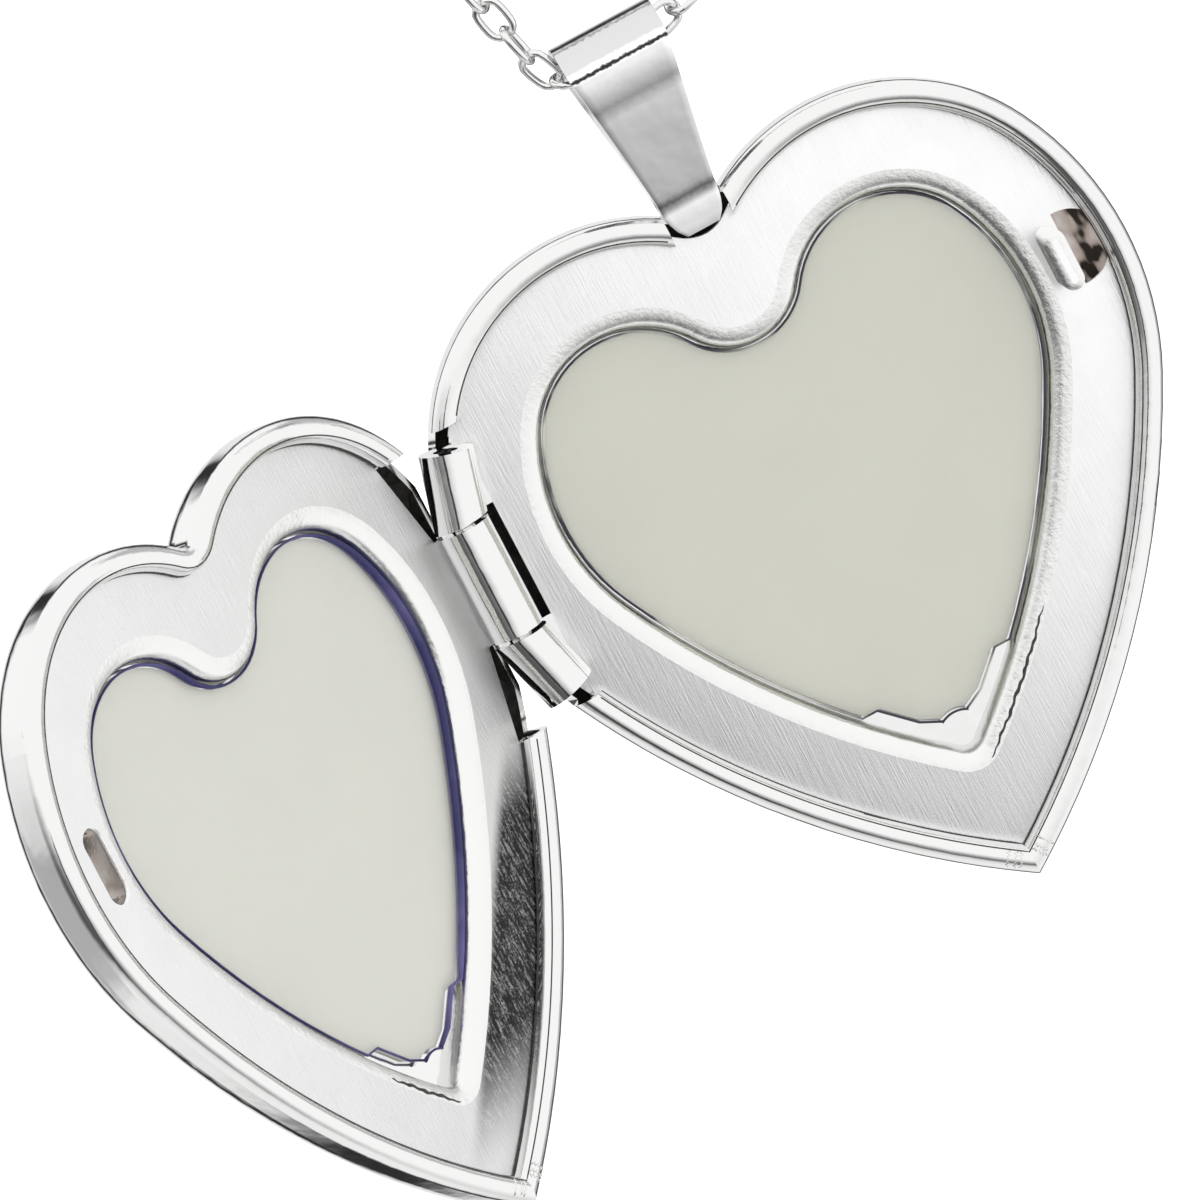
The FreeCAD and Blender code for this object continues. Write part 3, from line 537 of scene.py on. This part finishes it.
# Painted shade and dark painted reflections: in seams, on the beads, on the shoulders, and inside
# the shells by hinge and bail.
SHADOW = patchy_tones("seam_shadow", (0.012, 0.012, 0.012), (0.05, 0.045, 0.04))
BACK_EDGE = patchy_tones("back_lens_edge", (0.03, 0.025, 0.04), (0.50, 0.50, 0.46),
                    260.0, (0.46, 0.60))
FRONT_EDGE = patchy_tones("front_lens_edge", (0.015, 0.014, 0.09), (0.10, 0.09, 0.24),
                     300.0, (0.48, 0.72))
BACK_PUCKER = puckered_silver("back_pucker", BACK_OUT)
FRONT_PUCKER = puckered_silver("front_pucker", COVER_OUT)
BACK_SATIN = satin_silver("back_satin", middle("back_card"), 15.0, 0.90)
FRONT_SATIN = satin_silver("front_satin", middle("front_card"), 12.0, 0.80, with_painted_reflection=True)
# Each node's own material, and after it the ones that the split functions give to some faces.
FINISH = {
    "back_shell": (SILVER, RAW_PAINTED_LIGHT, SHADOW), "front_shell": (SILVER, RAW_PAINTED_LIGHT, SHADOW),
    "back_frame": (BACK_SATIN, BACK_PUCKER, SILVER),
    "front_frame": (FRONT_SATIN, FRONT_PUCKER, SILVER),
    "back_card": (BACK_CARD,), "front_card": (FRONT_CARD,), "back_lens": (LENS,),
    "front_lens": (LENS,), "hinge_pin": (SILVER,), "bail": (SILVER,), "ring_left": (SILVER,),
    "ring_right": (SILVER,), "clasp_body": (SILVER,), "clasp_trigger": (SILVER,),
}
for node, materials in FINISH.items():
    data = NODES[node].data
    data.materials.clear()
    for material in materials:
        data.materials.append(material)
chain.data.materials.append(SILVER)


def from_hinge(place):
    """Distance from the hinge pin's axis."""
    return Vector((place.x - HINGE_ROW.x, place.y - HINGE_ROW.y)).length


def split_frame(node, out):
    """Land satin, window shoulder and wall puckered, knuckles and window floor polished."""
    knuckle, floor = 1.35 * MM, land_height(out) - 0.3 * MM
    for polygon in NODES[node].data.polygons:
        flat = abs(polygon.normal.dot(out)) >= 0.9995
        deep = flat and polygon.center.dot(out) < floor
        if from_hinge(polygon.center) < knuckle or deep:
            polygon.material_index = 2
        elif not flat:
            polygon.material_index = 1


def split_shell(node, out):
    """Outside polished; inside, behind the frame, raw with painted glow, and painted deep shadow by
    hinge and bail.
    """
    heart = middle(node)
    for polygon in NODES[node].data.polygons:
        place = polygon.center
        behind = (HINGE_ROW - place).dot(out)
        if behind > 0.75 * MM and polygon.normal.dot(heart - place) > 0:
            under_bail = abs(place.x) < 3 * MM and place.z > -10.5 * MM
            polygon.material_index = 2 if from_hinge(place) < 6 * MM or under_bail else 1


for leaf, out in (("back", BACK_OUT), ("front", COVER_OUT)):
    split_shell(f"{leaf}_shell", out)
    split_frame(f"{leaf}_frame", out)

for node in ("back_card", "back_lens", "front_card", "front_lens"):
    data = NODES[node].data
    data.attributes.remove(data.attributes["custom_normal"])
    for polygon in data.polygons:
        polygon.use_smooth = False


# ---------------------------------------------------------------- heart outline
# The same arcs as the CAD's inner frames, in mm: lobe, flank, skirt, and the round in the cleft.
LOBE_X, LOBE_RADIUS, FLANK_RADIUS, SKIRT_RADIUS = 5.05, 6.56, 10.32, 33.44
LOBE_TURN, FLANK_TURN = radians(28.1), radians(-26.2)


def heart_points(inset, cleft_round, step=0.25):
    """Closed outline at an inset, from the tip up the right side: (x, z, outward x, outward z)."""
    flank_step = LOBE_RADIUS - FLANK_RADIUS
    flank = (LOBE_X + flank_step * cos(LOBE_TURN), flank_step * sin(LOBE_TURN))
    skirt_step = FLANK_RADIUS - SKIRT_RADIUS
    skirt = (flank[0] + skirt_step * cos(FLANK_TURN), flank[1] + skirt_step * sin(FLANK_TURN))
    skirt_radius = SKIRT_RADIUS - inset
    point = atan2(-sqrt(skirt_radius ** 2 - skirt[0] ** 2), -skirt[0])
    height = sqrt((LOBE_RADIUS - inset + cleft_round) ** 2 - LOBE_X ** 2)
    lobe_end = atan2(height, -LOBE_X)
    low = atan2(height, LOBE_X)
    runs = [(*skirt, skirt_radius, point, FLANK_TURN, 1),
            (*flank, FLANK_RADIUS - inset, FLANK_TURN, LOBE_TURN, 1),
            (LOBE_X, 0.0, LOBE_RADIUS - inset, LOBE_TURN, lobe_end, 1),
            (0.0, height, cleft_round, 2 * pi - low, 1.5 * pi, -1)]
    right = []
    for x, z, radius, start, end, way in runs:
        count = max(2, round(abs(end - start) * radius / step))
        for i in range(count):
            angle = start + (end - start) * i / count
            right.append((x + radius * cos(angle), z + radius * sin(angle),
                          way * cos(angle), way * sin(angle)))
    left = [(-x, z, -nx, nz) for x, z, nx, nz in reversed(right[1:])]
    return right + [(0.0, height - cleft_round, 0.0, 1.0)] + left


def leaf_place(x, y, z, is_cover):
    """Row-frame point, in metres, of a point of the back's drawing or of the cover's mirror."""
    if is_cover:
        reach, depth = x - HINGE_X, -y
        x = HINGE_X + reach * cos(OPEN_ANGLE) + depth * sin(OPEN_ANGLE)
        y = depth * cos(OPEN_ANGLE) - reach * sin(OPEN_ANGLE)
    return HEART_CENTRE + Vector((x, y, z)) * MM


def leaf_body(is_cover):
    return ("front", "cover") if is_cover else ("back", "back_half")


def by_knuckles(x, z):
    """True where the rim is cut away beside the hinge."""
    return x < -8.0 and abs(z - HINGE_Z) < 5.45


def outline_tube(name, inset, level, radius, is_cover, gap, around=8):
    """Thin round bead along the outline, open beside the hinge and, by a gap, at the bail."""
    rows, runs = [], []
    for x, z, nx, nz in heart_points(inset, CLEFT_ROUND + inset):
        if by_knuckles(x, z) or (abs(x) < gap and z > 0):
            if rows:
                runs.append(rows)
            rows = []
            continue
        rows.append([leaf_place(x + nx * cos(turn) * radius, level + sin(turn) * radius,
                                z + nz * cos(turn) * radius, is_cover) for turn in turns(around)])
    # the line starts at the tip, so its last run goes on into its first
    runs[0] = rows + runs[0]
    return capped_tubes(name, runs)


# ---------------------------------------------------------------- seams of the rims
SEAM_RADIUS, MARK_RADIUS, MARK_LEAN, BAIL_GAP = 0.065, 0.026, radians(38), 1.2


def make_seams():
    """Dark line of painted shade where each frame meets its rim, and a fine line of painted
    reflection on the rim's bead.
    """
    drop = FRAME_LEVEL - BEAD_LEVEL
    seam_inset = sqrt(BEAD_RADIUS ** 2 - drop ** 2) - BEAD_OFFSET
    mark_inset = BEAD_RADIUS * sin(MARK_LEAN) - BEAD_OFFSET
    mark_level = BEAD_LEVEL - BEAD_RADIUS * cos(MARK_LEAN)
    for is_cover in (False, True):
        name, body = leaf_body(is_cover)
        gap = 0.0 if is_cover else BAIL_GAP
        seam = outline_tube(f"{name}_seam", seam_inset, FRAME_LEVEL - 0.015, SEAM_RADIUS,
                            is_cover, gap)
        mark = outline_tube(f"{name}_bead_reflection_line", mark_inset, mark_level, MARK_RADIUS,
                            is_cover, gap)
        for piece in (seam, mark):
            finish_piece(piece, SHADOW, body)


make_seams()


# Folds beside each heart's tip: (point of the outline, how far along from it in mm).
TIP_FOLDS = [(0, 0.05), (0, 0.22), (2, 0.0), (-1, 0.1), (-1, -0.08), (-2, -0.1)]
FOLD_STEPS, FOLD_THICK, FOLD_ROOM = 9, 0.065, 0.50


def fold_rings(at, slide, reach, is_cover):
    """Rings of one fine fold over the rim's bead, which stays clear of the other leaf's bead."""
    x, z, nx, nz = at
    rings = []
    for i in range(FOLD_STEPS + 1):
        share = 2 * i / FOLD_STEPS - 1
        lean = reach * share
        room = FOLD_ROOM / cos(lean) - BEAD_RADIUS
        thin = min(room, FOLD_THICK * (1 - share ** 2 * 0.85))
        drift = slide + 0.05 * sin(3.1 * i + 20 * slide)
        ring = []
        for turn in turns(5):
            out = BEAD_RADIUS + thin * cos(turn)
            shift = drift + thin * sin(turn)
            off = BEAD_OFFSET + out * sin(lean)
            ring.append(leaf_place(x + nx * off - nz * shift, BEAD_LEVEL - out * cos(lean),
                                   z + nz * off + nx * shift, is_cover))
        rings.append(ring)
    return rings


def make_tip_folds():
    """The rim is folded together at each heart's tip: a few fine folds over its bead."""
    outline = heart_points(0.0, CLEFT_ROUND)
    for is_cover in (False, True):
        name, body = leaf_body(is_cover)
        folds = [fold_rings(outline[at], slide, radians(46 - 60 * abs(slide)), is_cover)
                 for at, slide in TIP_FOLDS]
        finish_piece(capped_tubes(f"{name}_tip_folds", folds), SILVER, body)


make_tip_folds()


# Dark marks of painted shade on the windows' shoulders: whether on the cover, first and last point,
# radius in mm.
SHOULDER_MARKS = [(False, 5, 62, 0.075), (True, 6, 40, 0.085)]
MARK_INSET, MARK_CLEFT, MARK_STEP = 2.35, 1.86, 0.1


def make_shoulder_marks():
    """Uneven dark line of painted shade where a window's shoulder turns down, from near its tip up
    the skirt.
    """
    for is_cover, start, end, thick in SHOULDER_MARKS:
        name, body = leaf_body(is_cover)
        points = heart_points(MARK_INSET, MARK_CLEFT, MARK_STEP)[start:end]
        rings = []
        for i, (x, z, nx, nz) in enumerate(points):
            share = i / (len(points) - 1)
            radius = thick * sin(pi * (0.03 + 0.94 * share)) ** 0.5
            radius *= 0.6 + 0.4 * abs(sin(i * 0.83) * cos(i * 0.37))
            shift = 0.02 * sin(i * 1.3) + 0.02 * sin(i * 0.47)
            ring = []
            for turn in turns(6):
                side = shift + cos(turn) * radius
                ring.append(leaf_place(x + nx * side, FRAME_LEVEL + 0.01 + sin(turn) * radius * 0.6,
                                       z + nz * side, is_cover))
            rings.append(ring)
        mark = capped_tubes(f"{name}_shoulder_mark", [rings])
        finish_piece(mark, SHADOW, body)


make_shoulder_marks()


# ---------------------------------------------------------------- lens edges
EDGE_RADIUS, EDGE_STEPS, EDGE_HEIGHT = 0.045 * MM, 6, 1.6
EDGE_PROUD, EDGE_OVER = 0.02 * MM, 0.015 * MM


def rim_loop(data, out):
    """Points round a sheet's face, in order, along edges that only one facing polygon has."""
    places, edges = {}, {}
    for polygon in data.polygons:
        if polygon.normal.dot(out) < 0.99:
            continue
        ring = []
        for vertex in polygon.vertices:
            place = data.vertices[vertex].co
            ring.append(tuple(round(c * 1e7) for c in place))
            places[ring[-1]] = place
        for a, b in zip(ring, ring[1:] + ring[:1]):
            if (b, a) in edges:
                del edges[b, a]
            else:
                edges[a, b] = True
    links = dict(edges.keys())
    start = here = next(iter(links))
    loop = []
    while not loop or here != start:
        loop.append(places[here].copy())
        here = links[here]
    return loop


def make_lens_edge(name, node, out, body, material, swell):
    """Lip of the cut sheet: a raised bead along the lens's own outline, thicker by the hinge."""
    data = NODES[node].data
    front = max(v.co.dot(out) for v in data.vertices)
    loop = rim_loop(data, out)
    verts = []
    for i, point in enumerate(loop):
        along = (loop[(i + 1) % len(loop)] - loop[i - 1]).normalized()
        side = along.cross(out).normalized()
        radius = EDGE_RADIUS + swell * max(0.0, side.dot(TO_HINGE)) ** 2
        centre = point + out * (front - point.dot(out) + EDGE_PROUD) - side * (radius - EDGE_OVER)
        verts += [centre + (side * cos(turn) + out * EDGE_HEIGHT * sin(turn)) * radius
                  for turn in turns(EDGE_STEPS)]
    piece = mesh_object(name, verts, ring_faces(len(loop), EDGE_STEPS))
    finish_piece(piece, material, body)


make_lens_edge("back_lens_edge", "back_lens", BACK_OUT, "back_half", BACK_EDGE, 0.0)
make_lens_edge("front_lens_edge", "front_lens", COVER_OUT, "cover", FRONT_EDGE, 0.11 * MM)


# ---------------------------------------------------------------- bail
BAIL_TOP_HALF, BAIL_LOW_HALF, STRAP = 1.92, 1.1, 0.3
BAIL_KINK, BAIL_WIDEST, BAIL_END = 6.85, 12.5, 5.3
# Outer side of the folded strap as (y, z) in mm, from the tang up the front, over the fold and down
# the back. It lies on the CAD's bail, with its real creases and soft bends.
BAIL_PROFILE = [
    (0.24, 5.42), (0.22, 6.0), (0.19, 6.5), (0.04, 6.95), (-0.62, 9.7), (-0.8, 10.65),
    (-0.93, 11.4), (-1.03, 12.22), (-0.66, 13.0), (-0.25, 13.38), (0.35, 13.5), (1.0, 13.35),
    (1.5, 12.9), (1.7, 12.2), (1.68, 9.6), (1.35, 7.7), (1.07, 6.5), (1.05, 5.42),
]
BAIL_CREASES = (2, 7, 9)
CREASE_ROUND, BEND_STEPS, SHORTEST, LEGS_MEET = 0.12, 6, 0.012, 0.635
STRAP_STEPS, STRAP_ROUND = 12, 0.06 * MM


def rounded_profile():
    """The strap's profile smoothed; a crease keeps its corner but for a small round."""
    points = [Vector(point) for point in BAIL_PROFILE]
    result = [points[0]]
    for i, (before, point, after) in enumerate(zip(points, points[1:], points[2:]), 1):
        ends = []
        for other in (before, after):
            share = CREASE_ROUND / (other - point).length if i in BAIL_CREASES else 0.5
            ends.append(point.lerp(other, min(0.5, share)))
        for k in range(BEND_STEPS + 1):
            t = k / BEND_STEPS
            result.append(ends[0] * (1 - t) ** 2 + point * 2 * t * (1 - t) + ends[1] * t ** 2)
    result.append(points[-1])
    clean = [result[0]]
    for point in result[1:]:
        if (point - clean[-1]).length > SHORTEST:
            clean.append(point)
    return clean


def bail_half(z):
    """Half of the strap's width at a height: tapered, and rounded to a tongue at its foot."""
    if z >= BAIL_KINK:
        share = min(1.0, (z - BAIL_KINK) / (BAIL_WIDEST - BAIL_KINK))
        return BAIL_LOW_HALF + (BAIL_TOP_HALF - BAIL_LOW_HALF) * share ** 1.1
    share = max(0.0, (z - BAIL_END) / (BAIL_KINK - BAIL_END))
    return BAIL_LOW_HALF * (0.30 + 0.70 * sqrt(1 - (1 - share) ** 2))


def make_bail():
    """Folded strap with a thickness; its two legs lie on each other below the eye."""
    outer = rounded_profile()
    count = len(outer)
    inner = []
    for i, point in enumerate(outer):
        along = (outer[min(i + 1, count - 1)] - outer[max(i - 1, 0)]).normalized()
        inside = point + Vector((along.y, -along.x)) * STRAP
        limit = min if i < count / 2 else max
        inner.append(Vector((limit(inside.x, LEGS_MEET), inside.y)))
    verts, faces = [], []
    for y, z in outer + inner:
        verts += [HEART_CENTRE + Vector((bail_half(z) * (2 * k / STRAP_STEPS - 1), y, z)) * MM
                  for k in range(STRAP_STEPS + 1)]
    row = STRAP_STEPS + 1
    size = count * row
    for i in range(count - 1):
        a, b = i * row, (i + 1) * row
        for k in range(STRAP_STEPS):
            faces.append((a + k, a + k + 1, b + k + 1, b + k))
            faces.append((size + a + k, size + b + k, size + b + k + 1, size + a + k + 1))
        faces.append((a, b, size + b, size + a))
        a, b = a + STRAP_STEPS, b + STRAP_STEPS
        faces.append((size + a, size + b, b, a))
    for first, last in ((0, False), ((count - 1) * row, True)):
        for a in range(first, first + STRAP_STEPS):
            face = (a, size + a, size + a + 1, a + 1)
            faces.append(tuple(reversed(face)) if last else face)
    bail = mesh_object("bail_strap", verts, faces)
    edge = bail.modifiers.new("edge", "BEVEL")
    edge.width, edge.segments, edge.limit_method = STRAP_ROUND, 3, "ANGLE"
    edge.angle_limit = radians(50)
    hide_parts("bail")
    finish_piece(bail, BAIL_SILVER_PAINTED_LIGHT, "back_half")


make_bail()


# ---------------------------------------------------------------- studio
def make_world():
    """A white tent round the locket, darker below, with an opening, grey sides and a back sheet.

    Everything is placed by the ray's direction: along the camera's rest axes, or by its bearing
    (0 toward -Y, positive toward +X, in radians) and its height.
    """
    world = bpy.data.worlds.new("studio")
    world.use_nodes = True
    tree = world.node_tree
    ray = Field(tree, tree.nodes.new("ShaderNodeTexCoord").outputs["Generated"])
    across, above, front = ray.along(RIGHT), ray.along(UP), ray.along(BACK)
    height = ray.along(Z_AXIS)
    bearing = ray.along((1.0, 0.0, 0.0)).math("ARCTAN2", ray.along((0.0, -1.0, 0.0)))

    def patch(left, right, bottom, top, keep, soft):
        """Dims the light between two bearings and two heights to a share of it."""
        inside = (bearing.ease(left - soft, left) * bearing.ease(right + soft, right)
                  * height.ease(bottom - soft, bottom) * height.ease(top + soft, top))
        return inside * (keep - 1.0) + 1.0

    opening = patch(-0.44, -0.34, -0.55, 0.16, 0.03, 0.04)
    left_side = patch(-2.1, -0.40, -0.5, 0.02, 0.62, 0.12)
    right_side = patch(1.78, 2.7, -0.55, 0.40, 0.5, 0.12)
    tent = front.ease(-0.70, -0.50)
    low_side = (above + across * 0.3).ease(-0.75, -0.05, -0.88, 0.0)
    fall = low_side * front.ease(0.0, 0.5, 0.35, 1.0) * above.ease(-0.90, -0.74, 0.3, 1.0) + 1.0
    sheet = front.ease(-0.77, -0.87)
    light = (tent * fall * 1.13 + sheet * 0.9) * opening * left_side * right_side + 0.03
    background = tree.nodes["Background"]
    background.inputs["Strength"].default_value = 1.0
    tree.links.new(light.socket, background.inputs["Color"])
    SCENE.world = world


def make_floor():
    """White paper well below the locket; the metal reflects the tent and not this."""
    low, half = CAD_BOX[0].z - 25 * MM, 2.5
    corners = [(-half, -half, low), (half, -half, low), (half, half, low), (-half, half, low)]
    floor = mesh_object("floor", corners, [(0, 1, 2, 3)], smooth=False)
    paint = Paint("floor")
    paint.set(Base_Color=(0.95, 0.95, 0.95, 1.0), Roughness=0.9,
              Emission_Color=(1.0, 1.0, 1.0, 1.0), Emission_Strength=0.6)
    floor.data.materials.append(paint.material)
    floor.visible_glossy = False


make_world()
make_floor()
SCENE.view_settings.view_transform = "Standard"
